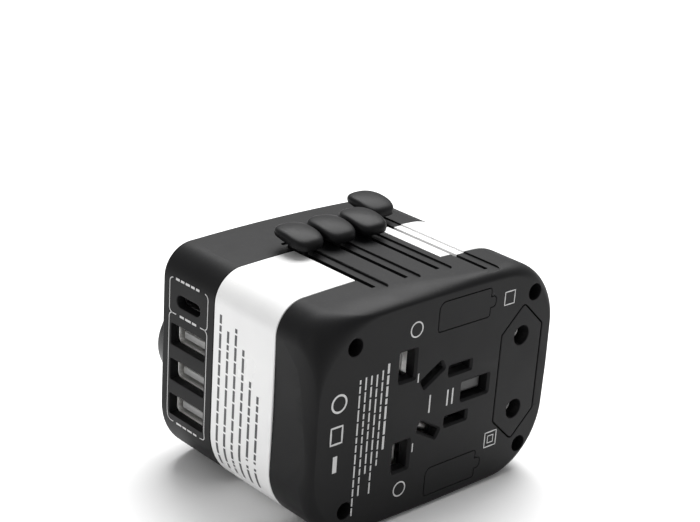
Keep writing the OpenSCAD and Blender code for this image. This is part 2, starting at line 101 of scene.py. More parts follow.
# %% Rings, outlines and bars
def make(name, verts, faces):
    mesh = bpy.data.meshes.new(name)
    mesh.from_pydata([(x * MM, y * MM, z * MM) for x, y, z in verts], [], faces)
    bm = bmesh.new()
    bm.from_mesh(mesh)
    bmesh.ops.recalc_face_normals(bm, faces=bm.faces)
    bm.to_mesh(mesh)
    bm.free()
    obj = bpy.data.objects.new(name, mesh)
    scene.collection.objects.link(obj)
    return obj


def ring_body(name, rings):
    n = len(rings[0])
    faces = []
    for k in range(len(rings) - 1):
        for i in range(n):
            j = (i + 1) % n
            faces.append((k * n + i, k * n + j, (k + 1) * n + j, (k + 1) * n + i))
    faces.append(tuple(range(n)))
    faces.append(tuple(range((len(rings) - 1) * n, len(rings) * n)))
    return make(name, [p for ring in rings for p in ring], faces)


def rounded(w, h, r, centre=(0, 0), turn=0, steps=5):
    """Rounded rectangle; r is one radius or four, from the lower right corner round to the lower left."""
    radii = r if isinstance(r, (tuple, list)) else (r,) * 4

    def outline(grow=0.0):
        points = []
        for (sa, sb, start), radius in zip(((1, -1, -90), (1, 1, 0), (-1, 1, 90), (-1, -1, 180)), radii):
            q = max(radius + grow, 0.04)
            ca, cb = sa * (w / 2 + grow - q), sb * (h / 2 + grow - q)
            for i in range(steps + 1):
                t = radians(start + 90 * i / steps)
                points.append((ca + q * cos(t), cb + q * sin(t)))
        c, s = cos(radians(turn)), sin(radians(turn))
        return [(centre[0] + a * c - b * s, centre[1] + a * s + b * c) for a, b in points]
    return outline


def disc(r, centre=(0, 0), n=40):
    return lambda grow=0.0: [(centre[0] + (r + grow) * cos(2 * pi * i / n),
                              centre[1] + (r + grow) * sin(2 * pi * i / n)) for i in range(n)]


def soft_polygon(corners, r, centre=(0, 0), steps=4):
    """A convex outline, anticlockwise, with its corners rounded; growing moves every side out."""
    def outline(grow=0.0):
        n = len(corners)
        points = []
        for i in range(n):
            p, a, b = (Vector(corners[k % n]) for k in (i, i - 1, i + 1))
            u, v = (p - a).normalized(), (b - p).normalized()
            nu, nv = Vector((u.y, -u.x)), Vector((v.y, -v.x))
            half = atan2(u.cross(v), u.dot(v)) / 2
            bisector = (nu + nv).normalized()
            q = max(r + grow, 0.04)
            middle = p + bisector * ((grow - q) / cos(half))
            base = atan2(nu.y, nu.x)
            for k in range(steps + 1):
                t = base + 2 * half * k / steps
                points.append((centre[0] + middle.x + q * cos(t), centre[1] + middle.y + q * sin(t)))
        return points
    return outline


def place(axis, s, a, b):
    return {"X": (s, a, b), "Y": (a, s, b), "Z": (a, b, s)}[axis]


def bar(name, axis, outline, stations):
    return ring_body(name, [[place(axis, s, a, b) for a, b in outline(g)] for s, g in stations])


def mouth(inner, face, rim, steps=1, over=1.0):
    """Stations of a hole cutter: straight from inner, then opening to a rim at the face."""
    out = 1 if face > inner else -1
    stations = [(inner, 0)]
    for k in range(steps + 1):
        t = radians(90 * k / steps)
        stations.append((face - out * rim * (1 - sin(t)), rim * (1 - cos(t))))
    return stations + [(face + out * over, rim)]


def edged(low, high, rim, steps=3):
    """Stations of a solid bar with rounded rims at both ends."""
    ends = [(rim * (1 - cos(radians(90 * k / steps))), -rim * (1 - sin(radians(90 * k / steps))))
            for k in range(steps + 1)]
    return [(low + s, g) for s, g in ends] + [(high - s, g) for s, g in reversed(ends)]

# %% [markdown]
# Openings are cut with exact solid differences, as a mould's core would leave them.
# The cutters carry the rims, so no bevel has to find its way round a hole afterwards.
# Sharp edges are marked by angle and the normals weighted by area, which keeps flat faces flat to the eye.

# %% Cutting and finishing
def carve(obj, tools, operation="DIFFERENCE"):
    for tool in tools:
        cut = obj.modifiers.new("cut", "BOOLEAN")
        cut.operation = operation
        cut.solver = "MANIFOLD"
        cut.object = tool
    settle(obj)
    for tool in tools:
        bpy.data.objects.remove(tool)
    return obj


def settle(obj):
    """Applies the live modifiers, so that the object is one plain mesh."""
    bpy.context.view_layer.update()
    mesh = bpy.data.meshes.new_from_object(obj.evaluated_get(bpy.context.evaluated_depsgraph_get()))
    obj.modifiers.clear()
    obj.data = mesh
    return obj


def smooth(obj, angle=28):
    bm = bmesh.new()
    bm.from_mesh(obj.data)
    bmesh.ops.remove_doubles(bm, verts=bm.verts, dist=2e-6)
    bmesh.ops.dissolve_degenerate(bm, edges=bm.edges, dist=1e-6)
    for face in bm.faces:
        face.smooth = True
    bm.to_mesh(obj.data)
    bm.free()
    obj.data.set_sharp_from_angle(angle=radians(angle))
    weighted = obj.modifiers.new("normals", "WEIGHTED_NORMAL")
    weighted.keep_sharp = True
    return settle(obj)


def fit_out(obj, body, nodes, material):
    """Gives a finished piece its body, the CAD nodes it stands for and its material."""
    obj.data.materials.clear()
    obj.data.materials.append(material)
    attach(obj, body)
    if nodes:
        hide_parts(*nodes)
    print(obj.name, len(obj.data.polygons), "faces on", body)
    return obj

# %% [markdown]
# ## Finishes
# Moulded plastic is never one flat colour: it has a spark-eroded grain, faint cloudiness
# and edges that polish with use. Those effects are shared, so each is a node group that
# gives out a mask or a normal, and each material sets its own values.
# The shader itself stays in the material, with its constants set on its own sockets.

# %% Shared effects
def new_group(name, inputs, outputs):
    tree = bpy.data.node_groups.new(name, "ShaderNodeTree")
    for label, value in inputs:
        socket = tree.interface.new_socket(label, in_out="INPUT", socket_type="NodeSocketFloat")
        socket.default_value = value
    for label, kind in outputs:
        tree.interface.new_socket(label, in_out="OUTPUT", socket_type=kind)
    return tree, tree.nodes.new("NodeGroupInput"), tree.nodes.new("NodeGroupOutput")


def add(tree, kind, **values):
    node = tree.nodes.new(kind)
    for key, value in values.items():
        if hasattr(node, key):
            setattr(node, key, value)
        else:
            node.inputs[key.replace("_", " ")].default_value = value
    return node


def wire(tree, *rows):
    for source, out, target, into in rows:
        tree.links.new(source.outputs[out], target.inputs[into])


def grain_group():
    tree, start, end = new_group("moulded_grain", [("Grain Scale", 5000.0), ("Depth", 0.1)],
                                 [("Normal", "NodeSocketVector"), ("Cloud", "NodeSocketFloat")])
    where = add(tree, "ShaderNodeTexCoord")
    fine = add(tree, "ShaderNodeTexNoise", Detail=2.0)
    cloud = add(tree, "ShaderNodeTexNoise", Scale=90.0, Detail=3.0)
    bump = add(tree, "ShaderNodeBump", Distance=0.00004)
    wire(tree,
         (where, "Object", fine, "Vector"),
         (where, "Object", cloud, "Vector"),
         (start, "Grain Scale", fine, "Scale"),
         (start, "Depth", bump, "Strength"),
         (fine, 0, bump, "Height"),
         (bump, 0, end, "Normal"),
         (cloud, 0, end, "Cloud"))
    return tree


def wear_group():
    tree, start, end = new_group("edge_wear", [("Reach", 0.0004), ("Break Up", 700.0)],
                                 [("Mask", "NodeSocketFloat")])
    round_off = add(tree, "ShaderNodeBevel", samples=4)
    true_normal = add(tree, "ShaderNodeNewGeometry")
    dot = add(tree, "ShaderNodeVectorMath", operation="DOT_PRODUCT")
    edge = add(tree, "ShaderNodeMapRange", From_Min=0.97, From_Max=0.80)
    where = add(tree, "ShaderNodeTexCoord")
    noise = add(tree, "ShaderNodeTexNoise", Detail=3.0)
    patch = add(tree, "ShaderNodeMapRange", From_Min=0.35, From_Max=0.65)
    both = add(tree, "ShaderNodeMath", operation="MULTIPLY")
    wire(tree,
         (start, "Reach", round_off, "Radius"),
         (start, "Break Up", noise, "Scale"),
         (round_off, 0, dot, 0),
         (true_normal, "Normal", dot, 1),
         (dot, "Value", edge, "Value"),
         (where, "Object", noise, "Vector"),
         (noise, 0, patch, "Value"),
         (edge, 0, both, 0),
         (patch, 0, both, 1),
         (both, 0, end, "Mask"))
    return tree


def dust_group():
    tree, start, end = new_group("settled_dust", [("Amount", 0.2)], [("Mask", "NodeSocketFloat")])
    geometry = add(tree, "ShaderNodeNewGeometry")
    split = add(tree, "ShaderNodeSeparateXYZ")
    up = add(tree, "ShaderNodeMapRange", From_Min=0.5, From_Max=1.0)
    where = add(tree, "ShaderNodeTexCoord")
    specks = add(tree, "ShaderNodeTexNoise", Scale=1400.0, Detail=4.0)
    sparse = add(tree, "ShaderNodeMapRange", From_Min=0.58, From_Max=0.78)
    lay = add(tree, "ShaderNodeMath", operation="MULTIPLY")
    share = add(tree, "ShaderNodeMath", operation="MULTIPLY")
    wire(tree,
         (geometry, "Normal", split, 0),
         (split, "Z", up, "Value"),
         (where, "Object", specks, "Vector"),
         (specks, 0, sparse, "Value"),
         (up, 0, lay, 0),
         (sparse, 0, lay, 1),
         (lay, 0, share, 0),
         (start, "Amount", share, 1),
         (share, 0, end, "Mask"))
    return tree


def drawn_group():
    """Fine lines along X, as on drawn or rolled metal."""
    tree, start, end = new_group("drawn_lines", [("Depth", 0.2)],
                                 [("Normal", "NodeSocketVector"), ("Tone", "NodeSocketFloat")])
    where = add(tree, "ShaderNodeTexCoord")
    stretch = add(tree, "ShaderNodeMapping")
    stretch.inputs["Scale"].default_value = (0.04, 1.0, 1.0)
    lines = add(tree, "ShaderNodeTexNoise", Scale=9000.0, Detail=2.0)
    bump = add(tree, "ShaderNodeBump", Distance=0.00002)
    wire(tree,
         (where, "Object", stretch, "Vector"),
         (stretch, 0, lines, "Vector"),
         (lines, 0, bump, "Height"),
         (start, "Depth", bump, "Strength"),
         (bump, 0, end, "Normal"),
         (lines, 0, end, "Tone"))
    return tree


GRAIN, WEAR, DUST, DRAWN = grain_group(), wear_group(), dust_group(), drawn_group()
print("groups", [g.name for g in bpy.data.node_groups])

# %% [markdown]
# Two recipes cover nearly every part: a moulded plastic and a metal.
# The plastic mixes its colour towards a paler one on worn edges and where dust lies,
# and its roughness follows the same masks.
# The metal takes its grain from drawn lines and darkens a little in cloudy patches, as plating does.

# %% Material recipes
def shader(name):
    material = bpy.data.materials.new(name)
    material.use_nodes = True
    tree = material.node_tree
    principled = next(n for n in tree.nodes if n.type == "BSDF_PRINCIPLED")
    return material, tree, principled


def group_node(tree, group, **values):
    node = tree.nodes.new("ShaderNodeGroup")
    node.node_tree = group
    for key, value in values.items():
        node.inputs[key.replace("_", " ")].default_value = value
    return node


def blend_colour(tree, a, b, factor, amount=1.0):
    mix = tree.nodes.new("ShaderNodeMix")
    mix.data_type = "RGBA"
    if amount != 1.0:
        scale = add(tree, "ShaderNodeMath", operation="MULTIPLY")
        scale.inputs[1].default_value = amount
        tree.links.new(factor, scale.inputs[0])
        factor = scale.outputs[0]
    tree.links.new(factor, mix.inputs["Factor"])
    for socket, value in ((mix.inputs[6], a), (mix.inputs[7], b)):
        if isinstance(value, tuple):
            socket.default_value = (*value, 1.0)
        else:
            tree.links.new(value, socket)
    return mix.outputs[2]


def ranged(tree, value, low, high):
    node = add(tree, "ShaderNodeMapRange", From_Min=0.3, From_Max=0.7, To_Min=low, To_Max=high)
    tree.links.new(value, node.inputs["Value"])
    return node.outputs[0]


def plastic(name, colour, cloudy, worn, rough, grain=5000.0, depth=0.15, dust=0.15,
            wear=0.5, reach=0.0004, specular=0.5):
    material, tree, principled = shader(name)
    grained = group_node(tree, GRAIN, Grain_Scale=grain, Depth=depth)
    edges = group_node(tree, WEAR, Reach=reach, Break_Up=700.0)
    dusty = group_node(tree, DUST, Amount=dust)
    cloud = ranged(tree, grained.outputs["Cloud"], 0.0, 1.0)
    base = blend_colour(tree, colour, cloudy, cloud)
    base = blend_colour(tree, base, worn, edges.outputs["Mask"], wear)
    base = blend_colour(tree, base, (0.62, 0.6, 0.56), dusty.outputs["Mask"])
    tree.links.new(base, principled.inputs["Base Color"])
    tree.links.new(ranged(tree, grained.outputs["Cloud"], rough[0], rough[1]), principled.inputs["Roughness"])
    wire(tree, (grained, "Normal", principled, "Normal"))
    principled.inputs["Specular IOR Level"].default_value = specular
    return material


def metal(name, colour, dull, rough, depth=0.25, metallic=1.0):
    material, tree, principled = shader(name)
    drawn = group_node(tree, DRAWN, Depth=depth)
    grained = group_node(tree, GRAIN, Grain_Scale=3000.0, Depth=0.1)
    base = blend_colour(tree, colour, dull, ranged(tree, grained.outputs["Cloud"], 0.0, 1.0))
    tree.links.new(base, principled.inputs["Base Color"])
    tree.links.new(ranged(tree, drawn.outputs["Tone"], rough[0], rough[1]), principled.inputs["Roughness"])
    wire(tree, (drawn, "Normal", principled, "Normal"))
    principled.inputs["Metallic"].default_value = metallic
    return material


shell_black = plastic("soft_black_shell", (0.0065, 0.0065, 0.007), (0.009, 0.009, 0.0095), (0.022, 0.022, 0.022),
                      (0.44, 0.54), grain=6000.0, depth=0.22, dust=0.015, specular=0.14)
knob_black = plastic("satin_black_knob", (0.0055, 0.0055, 0.006), (0.0075, 0.0075, 0.008), (0.018, 0.018, 0.018),
                     (0.40, 0.48), grain=7000.0, depth=0.12, dust=0.01, reach=0.0006, specular=0.14)
plate_black = plastic("polished_black_plate", (0.007, 0.007, 0.0075), (0.010, 0.010, 0.0105), (0.03, 0.03, 0.03),
                      (0.20, 0.28), grain=2500.0, depth=0.05, dust=0.02, specular=0.25)
band_white = plastic("polished_white_band", (0.84, 0.84, 0.84), (0.87, 0.87, 0.865), (0.70, 0.69, 0.67), (0.20, 0.28),
                     grain=2000.0, depth=0.04, dust=0.04, wear=0.3)
pin_black = plastic("black_insulator", (0.015, 0.015, 0.015), (0.02, 0.02, 0.02), (0.06, 0.06, 0.06), (0.30, 0.38))
tongue_grey = plastic("grey_tongue", (0.42, 0.42, 0.42), (0.47, 0.47, 0.46), (0.6, 0.6, 0.6), (0.35, 0.45), depth=0.08)
nylon_white = plastic("natural_nylon", (0.66, 0.65, 0.60), (0.72, 0.71, 0.67), (0.78, 0.77, 0.74), (0.40, 0.52))
ceramic_white = plastic("glazed_ceramic", (0.78, 0.76, 0.71), (0.82, 0.80, 0.76), (0.85, 0.84, 0.8),
                        (0.12, 0.2), depth=0.05)
board_green = plastic("green_solder_mask", (0.01, 0.11, 0.045), (0.015, 0.14, 0.06), (0.3, 0.3, 0.15),
                      (0.2, 0.3), depth=0.1)
tape_yellow = plastic("yellow_tape", (0.6, 0.42, 0.05), (0.66, 0.48, 0.08), (0.7, 0.55, 0.2), (0.2, 0.3), depth=0.05)
sleeve_blue = plastic("blue_sleeve", (0.03, 0.05, 0.16), (0.04, 0.07, 0.2), (0.2, 0.22, 0.3), (0.18, 0.26), depth=0.05)
brass = metal("rolled_brass", (0.72, 0.50, 0.20), (0.60, 0.42, 0.18), (0.20, 0.32))
nickel = metal("nickel_plate", (0.86, 0.85, 0.83), (0.76, 0.75, 0.74), (0.30, 0.42), metallic=0.8)
steel = metal("drawn_steel", (0.50, 0.50, 0.51), (0.40, 0.40, 0.41), (0.24, 0.36))
gold = metal("gold_flash", (0.90, 0.66, 0.28), (0.78, 0.55, 0.22), (0.18, 0.26))
print("materials", len(bpy.data.materials))

# %% [markdown]
# Pad-printed ink is a thin, slightly broken film, so its colour is thinned by a fine noise.
# The clear parts are acrylic: plain transmission on the shader's own socket, with the grain only in the roughness.

# %% Ink and clear plastic
def ink(name, colour, thin):
    material, tree, principled = shader(name)
    grained = group_node(tree, GRAIN, Grain_Scale=9000.0, Depth=0.05)
    tree.links.new(blend_colour(tree, colour, thin, ranged(tree, grained.outputs["Cloud"], 0.0, 0.6)),
                   principled.inputs["Base Color"])
    wire(tree, (grained, "Normal", principled, "Normal"))
    principled.inputs["Roughness"].default_value = 0.5
    return material


def clear(name, colour):
    material, tree, principled = shader(name)
    grained = group_node(tree, GRAIN, Grain_Scale=1200.0, Depth=0.05)
    tree.links.new(ranged(tree, grained.outputs["Cloud"], 0.06, 0.14), principled.inputs["Roughness"])
    tree.links.new(blend_colour(tree, colour, tuple(c * 0.94 for c in colour), grained.outputs["Cloud"]),
                   principled.inputs["Base Color"])
    principled.inputs["Transmission Weight"].default_value = 0.9
    principled.inputs["IOR"].default_value = 1.49
    return material


ink_pale = ink("pale_ink", (0.62, 0.62, 0.62), (0.42, 0.42, 0.42))
ink_dark = ink("dark_ink", (0.05, 0.05, 0.055), (0.12, 0.12, 0.12))
lens_clear = clear("clear_acrylic", (0.86, 0.93, 0.97))
print("inks and clear parts ready")

# %% [markdown]
# ## The case
# The cross section has a tight corner beside the ports and three large ones, and its top is slightly crowned.
# At the plug face the four corners are all large, so the front edge is a fillet that widens at the tight corner.
# Rings of matching points make that easy: each point slides from its place on the case to its place on the face.

# %% Rings of the case
CORNERS = ((1, -1, -90), (1, 1, 0), (-1, 1, 90), (-1, -1, 180))
BODY_R = (15, 15, 7, 15)
FACE_R = (18, 18, 20, 18)
CROWN, FALL = 0.8, 1.2            # rise in the middle of the top, and how much less it is at the sides


def top_at(y):
    return TOP + CROWN - FALL * (y / HALF_W) ** 2


def crowned(y, z):
    t = min(max((z - 30) / 24, 0), 1)
    return y, z + (CROWN - FALL * (y / HALF_W) ** 2) * t * t * (3 - 2 * t)


def case_ring(inset=0.0, radii=BODY_R, steps=14, straight=7):
    arcs = []
    for (sy, sz, start), r in zip(CORNERS, radii):
        q = max(r - inset, 0.4)
        cy, cz = sy * (HALF_W - inset - q), ZC + sz * (ZC - SKIN - inset - q)
        arcs.append([(cy + q * cos(radians(start + 90 * i / steps)),
                      cz + q * sin(radians(start + 90 * i / steps))) for i in range(steps + 1)])
    ring = []
    for k, arc in enumerate(arcs):
        ring += arc
        a, b = arc[-1], arcs[(k + 1) % 4][0]
        ring += [(a[0] + (b[0] - a[0]) * i / (straight + 1), a[1] + (b[1] - a[1]) * i / (straight + 1))
                 for i in range(1, straight + 1)]
    return [crowned(y, z) for y, z in ring]


def at_x(x, ring):
    return [(x, y, z) for y, z in ring]


def seam_rings(x, out):
    """The small rounded edge beside a seam; out is +1 where the body lies towards +X."""
    return [at_x(x + out * dx, case_ring(inset)) for dx, inset in ((0, 0.26), (0.05, 0.14), (0.14, 0.04), (0.28, 0))]


def cavity(x0, x1):
    return ring_body("cavity", [at_x(x, case_ring(WALL)) for x in (x0, x1)])


def block(x0, x1, y0, y1, z0, z1):
    outline = rounded(y1 - y0, z1 - z0, 0.05, ((y0 + y1) / 2, (z0 + z1) / 2), steps=1)
    return bar("block", "X", outline, [(x0, 0), (x1, 0)])


print("ring points", len(case_ring()))

# %% [markdown]
# Four slots run along the top, each beside a shallow track where the knob's foot slides.
# A track is square cut at the slot and has a rounded front corner and a round rear end under the knob.
# Under the slot a wider channel leaves room for the foot when the knob is pressed.
# The same cutters serve all three parts of the case, so the slots line up across the seams.

# %% Slot and track cutters
KNOB_X = [(lo.x + hi.x) / 2 for lo, hi in (box_mm(f"{k}_knob") for k in ("uk", "au", "us", "eu"))]
TRACK_DEEP, CHANNEL_DEEP = 0.5, 1.15        # the track's floor and the channel's roof, below the top


def slot_cutters(which=(0, 1, 2, 3)):
    tools = []
    for y, end, knob in [(SLOT_Y[i], SLOT_END[i], KNOB_X[i]) for i in which]:
        rear, top = knob - 3.8, top_at(y)
        tools.append(bar("track", "Z", rounded(end + 2.4 - rear + 1.5, 4.3, (0.15, 1.6, 2.1, 0.8),
                                               ((end + 2.4 + rear - 1.5) / 2, y + 1.15), steps=8),
                         mouth(top - TRACK_DEEP, top, 0.12, 2)))
        tools.append(bar("slot", "Z", rounded(end - rear, 2.0, 0.25, ((end + rear) / 2, y), steps=3),
                         [(TOP - 5, 0), (top - 0.62, 0), (top - TRACK_DEEP, 0.06), (top + 2, 0.06)]))
        tools.append(block(rear, end, y - 1.0, y + 3.4, TOP - 4, top - CHANNEL_DEEP))
    return tools


print("knobs at", [round(x, 2) for x in KNOB_X])

# %% [markdown]
# The rear shell holds the ports and the universal socket. Its back edge is a small round.
# The port windows are cut straight through the wall with a small chamfer, and the metal shells sit behind them.

# %% Rear shell
def rear_shell():
    fillet = 0.7
    rings = [at_x(X_BACK + fillet * (1 - sin(t)), case_ring(fillet * (1 - cos(t))))
             for t in (radians(90 - 90 * k / 7) for k in range(8))]
    rings += list(reversed(seam_rings(X_SEAM_R - 0.02, -1)))
    shell = ring_body("rear_shell_look", rings)
    carve(shell, [cavity(X_BACK + WALL, X_SEAM_R + 1)])
    carve(shell, [bar("post", "X", disc(2.2, p, 24), [(X_BACK + 1, 0), (16.1, 0)]) for p in SCREWS], "UNION")
    tools = slot_cutters()
    tools += [bar("pilot", "X", disc(1.22, p, 24), [(X_BACK + 2, 0), (17, 0)]) for p in SCREWS]
    tools.append(bar("socket_opening", "X", lambda g=0: [(30 * cos(a), ZC + 15.3 * sin(a)) for a in
                                                         (radians(5 * i) for i in range(72))],
                     [(X_BACK - 1, 0), (X_BACK + 3.2, 0)]))
    for z in PORT_Z[1:]:
        tools.append(bar("window", "Y", rounded(12.7, 5.2, 0.35, (PORT_X, z)), mouth(-33.8, -HALF_W, 0.3, 2)))
    usb_c_window = rounded(8.6, 2.9, 1.44, (PORT_X, PORT_Z[0]), steps=10)
    tools.append(bar("window", "Y", usb_c_window, mouth(-33.8, -HALF_W, 0.3, 2)))
    carve(shell, tools)
    return fit_out(smooth(shell), "case", ["rear_shell"], shell_black)


rear_shell()

# %% [markdown]
# The front shell carries the plug face. A bridge reaches back from it over the first three slots.
# Each pin opening has a chamfered mouth that guides the pin.
# The sides are dished for the fingers that pull the plug out:
# each dish is a large sphere, cut as a thin lens.

# %% Front shell
def fillet_rings(steps=9):
    body, face = case_ring(), [(y, z - 1.0 * max(0, (z - 40) / 14)) for y, z in case_ring(1.35, FACE_R)]
    rings = []
    for k in range(steps + 1):
        t = radians(90 * k / steps)
        ring = []
        for (y0, z0), (y1, z1) in zip(body, face):
            gap = hypot(y0 - y1, z0 - z1)
            depth = 0.6 + min(gap, 6.5)
            share = 1 - cos(t)
            ring.append((X_FACE - depth * (1 - sin(t)), y0 + (y1 - y0) * share, z0 + (z1 - z0) * share))
        rings.append(ring)
    return rings


def dish_cutter(side):
    sphere, rim, centre_x, centre_z = 400.0, 21.2, 7.0, ZC + 2
    middle = HALF_W + sqrt(sphere ** 2 - rim ** 2)
    rings = [(r, middle - sqrt(sphere ** 2 - r ** 2)) for r in (0.6, 5, 9, 13, 17, 21, 25)] + [(25, 44)]
    return ring_body("dish", [[(centre_x + r * cos(a), side * y, centre_z + r * sin(a))
                               for a in (radians(3.75 * i) for i in range(96))] for r, y in rings])


HEXAGON = [(0, -17.3), (6.7, -11), (6.7, 11), (0, 17.3), (-6.7, 11), (-6.7, -11)]


def pin_openings():
    inner = X_FACE - 4
    tools = []
    for s in (-1, 1):
        for name, outline, bevel in (("uk", rounded(4.6, 7, 0.25, (Y_UK, ZC + s * HALF_UK)), 0.55),
                                     ("us", rounded(6.9, 2.2, 0.2, (Y_US, ZC + s * HALF_US)), 0.5),
                                     ("au", rounded(6.9, 2.2, 0.2, (Y_AU, ZC + s * HALF_AU), s * AU_TURN), 0.5)):
            tools.append(bar(name, "X", outline, mouth(inner, X_FACE, bevel)))
    tools.append(bar("earth", "X", rounded(8.6, 4.6, 0.3, (Y_EARTH, ZC)), mouth(inner, X_FACE, 0.5)))
    hexagon = soft_polygon(HEXAGON, 0.9, (Y_EU, ZC))
    tools.append(bar("eu", "X", lambda g=0: hexagon(g + 0.28), mouth(inner, X_FACE, 0.22, 2)))
    return tools


def door_outline(z):
    return rounded(16.2, 7, (0.7, 0.7, 1.8, 0.7), (6.2, z)), rounded(3.4, 2.6, (0.9, 0.9, 0.05, 0.05), (14.3, z))


def front_shell():
    rings = seam_rings(X_SEAM_F + 0.02, 1) + fillet_rings()
    shell = ring_body("front_shell_look", rings)
    carve(shell, [cavity(X_SEAM_F - 1, X_FACE - 3)])
    bridge = ring_body("bridge", [at_x(x, case_ring()) for x in (X_SEAM_R + 0.03, X_SEAM_F + 1)])
    bridge = carve(bridge, [block(X_SEAM_R - 2, X_SEAM_F + 3, -60, BRIDGE[0] + 0.1, -5, 70),
                            block(X_SEAM_R - 2, X_SEAM_F + 3, BRIDGE[1] - 0.1, 60, -5, 70),
                            block(X_SEAM_R - 2, X_SEAM_F + 3, -40, 40, -5, TOP - WALL)])
    solids = [bar("post", "X", disc(3.1, p, 32), [(X_SEAM_F + 0.1, 0), (X_FACE - 1, 0)]) for p in SCREWS]
    solids += [block(21.4, X_FACE - 1, -2.9, 14.0, z - 4.4, z + 4.4) for z in DOOR_Z]
    carve(shell, solids + [bridge], "UNION")
    tools = pin_openings() + slot_cutters() + [dish_cutter(-1), dish_cutter(1)]
    tools += [bar("screw_hole", "X", disc(2.05, p), mouth(17.6, X_FACE, 0.2, 2)) for p in SCREWS]
    tools += [bar("pilot", "X", disc(1.3, p, 24), [(X_SEAM_F - 1, 0), (18, 0)]) for p in SCREWS]
    for z in DOOR_Z:
        tools.append(block(22.2, 28.4, -2.0, 13.2, z - 3.6, z + 3.6))
        tools += [bar("door_seat", "X", lambda g=0, o=outline: o(g + 0.13), mouth(28.2, X_FACE, 0.1))
                  for outline in door_outline(z)]
    carve(shell, tools)
    return fit_out(smooth(shell), "case", ["front_shell"], shell_black)


front_shell()

# %% [markdown]
# The white band wraps the sides and the underside between the shells. A separate strip of it lies beside the bridge.
# Its edges are a hair inside its neighbours', so a fine dark line shows at each seam.

# %% Middle band and strip
def middle_band():
    rings = seam_rings(X_SEAM_R + 0.02, 1) + list(reversed(seam_rings(X_SEAM_F - 0.02, -1)))
    band = ring_body("middle_band_look", rings)
    carve(band, [cavity(X_SEAM_R - 1, X_SEAM_F + 1),
                 block(X_SEAM_R - 1, X_SEAM_F + 1, BRIDGE[0], SLOT_Y[3] + 1, 45, 60), *slot_cutters([3])])
    return fit_out(smooth(band), "case", ["middle_band"], band_white)


def band_strip():
    left, right = BRIDGE[1] + 0.04, SLOT_Y[3] - 1.03
    low = TOP - WALL
    outline = soft_polygon([(left, low), (right, low), (right, top_at(right)), (left, top_at(left))], 0.15)
    strip = bar("band_strip_look", "X", outline, edged(X_SEAM_R + 0.04, X_SEAM_F - 0.04, 0.12))
    return fit_out(smooth(strip), "case", ["band_strip"], band_white)


middle_band()
band_strip()

# %% [markdown]
# ## Sockets and ports
# The universal socket sits in a raised oval plate of polished plastic with sloping sides.
# Each pole is one opening: the outlines for round, flat, slanted and square pins overlap,
# and each brings its own chamfer.

# %% Socket plate and power light
def oval(g=0.0):
    return [((35 + g) * cos(a), ZC + (19.3 + g) * sin(a)) for a in (radians(4 * i) for i in range(90))]


def socket_plate():
    x0 = PLATE_LO.x + SKIN
    y, earth = -4.0, 18.23
    plate = bar("socket_plate_look", "X", oval, [(x0, -2.2), (x0 + 0.12, -1.5), (x0 + 0.45, -0.95), (x0 + 1.1, -0.65),
                                                (PLATE_HI.x - 0.3, -0.1), (PLATE_HI.x, -0.1)])
    tools = [bar("hollow", "X", lambda g=0: oval(-2.5), [(x0 + 4.4, 0), (PLATE_HI.x + 1, 0)])]
    inner = x0 + 5
    for s in (-1, 1):
        for name, outline in (("round", disc(2.6, (y, ZC + s * HALF_EU), 32)),
                              ("flat", rounded(6.8, 2.0, 0.2, (y, ZC + s * HALF_US))),
                              ("square", rounded(4.6, 7.0, 0.3, (y, ZC + s * HALF_UK))),
                              ("slanted", rounded(6.8, 2.0, 0.2, (y, ZC + s * HALF_AU), s * AU_TURN))):
            tools.append(bar(name, "X", outline, mouth(inner, x0, 0.45)))
    tools.append(bar("earth", "X", rounded(8.6, 4.6, 0.3, (earth, ZC)), mouth(inner, x0, 0.45)))
    tools.append(bar("lens_hole", "X", disc(1.5, (LENS_Y, ZC), 32), mouth(inner, x0, 0.15)))
    carve(plate, tools)
    return fit_out(smooth(plate), "case", ["socket_plate"], plate_black)


def power_light():
    lo, hi = box_mm("indicator_lens")
    lens = bar("indicator_lens_look", "X", disc(1.46, (LENS_Y, ZC), 32),
               [(lo.x + 0.02, -1.1), (lo.x + 0.08, -0.7), (lo.x + 0.22, -0.3), (lo.x + 0.5, 0), (hi.x - 0.8, 0),
                (hi.x - 0.79, 0.7), (hi.x - 0.02, 0.7)])
    return fit_out(smooth(lens, 40), "case", ["indicator_lens"], lens_clear)


socket_plate()
power_light()

# %% [markdown]
# A USB-A receptacle is a folded metal shell with a plastic tongue in its lower half
# and four gold strips on top of the tongue.
# The strips repeat, so a small Geometry Nodes tree sets one strip on each of a row of points.
# The same tree later sets out the four case screws.

# %% A tree that repeats a piece
def repeat_tree():
    tree = bpy.data.node_groups.new("repeat_on_points", "GeometryNodeTree")
    for label, kind, way in (("Points", "NodeSocketGeometry", "INPUT"), ("Piece", "NodeSocketObject", "INPUT"),
                             ("Size", "NodeSocketFloat", "INPUT"), ("Finish", "NodeSocketMaterial", "INPUT"),
                             ("Geometry", "NodeSocketGeometry", "OUTPUT")):
        tree.interface.new_socket(label, in_out=way, socket_type=kind)
    start, end = tree.nodes.new("NodeGroupInput"), tree.nodes.new("NodeGroupOutput")
    piece = tree.nodes.new("GeometryNodeObjectInfo")
    copies = tree.nodes.new("GeometryNodeInstanceOnPoints")
    real = tree.nodes.new("GeometryNodeRealizeInstances")
    finish = tree.nodes.new("GeometryNodeSetMaterial")
    wire(tree,
         (start, "Piece", piece, "Object"),
         (start, "Points", copies, "Points"),
         (piece, "Geometry", copies, "Instance"),
         (start, "Size", copies, "Scale"),
         (copies, 0, real, 0),
         (real, 0, finish, "Geometry"),
         (start, "Finish", finish, "Material"),
         (finish, 0, end, "Geometry"))
    return tree


REPEAT = repeat_tree()


